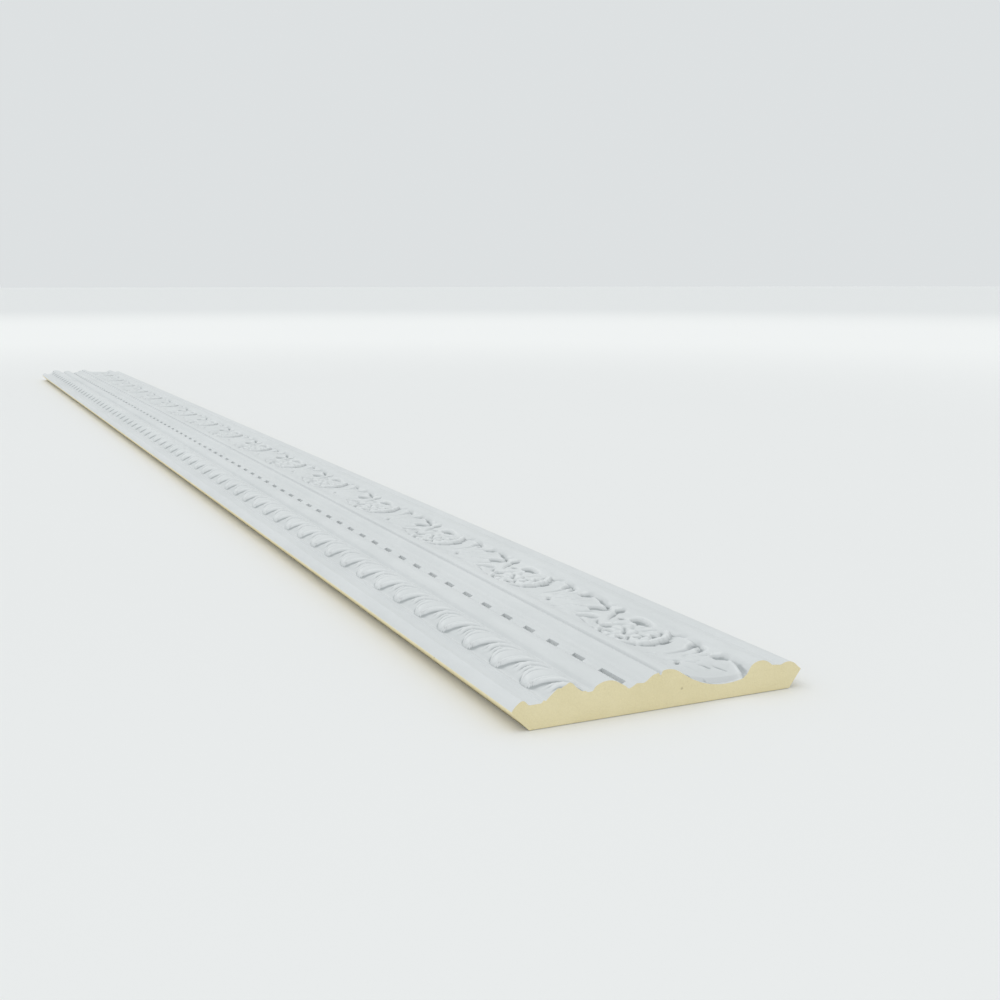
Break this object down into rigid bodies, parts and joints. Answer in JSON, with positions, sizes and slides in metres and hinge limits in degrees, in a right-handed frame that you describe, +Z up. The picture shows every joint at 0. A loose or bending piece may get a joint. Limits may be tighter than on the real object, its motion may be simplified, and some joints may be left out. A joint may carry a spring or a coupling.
{
  "type": "cornice moulding length",
  "caption": "Straight length of foam cornice moulding with bevelled edges, a carved leaf roll, a slotted roll and a rosette and acanthus band in the cove.",
  "frame": {"origin": "on the flat back, half way along the length and half way across the two lips", "axes": "+X along the length towards the end that has the longer first slot beside it, +Y across the face from the leaf roll to the plain bead, +Z up from the back through the decorated face"},
  "size_m": [2.4, 0.1686, 0.0208],
  "materials": {
    "primer_coat": "matte white primer on the moulded face, a little uneven",
    "foam_core": "bare cream polyurethane foam, fine closed cells with small pits, on the cut ends, bevels and back"
  },
  "bodies": {
    "root": {"cornice": "primer_coat"}
  },
  "joints": []
}
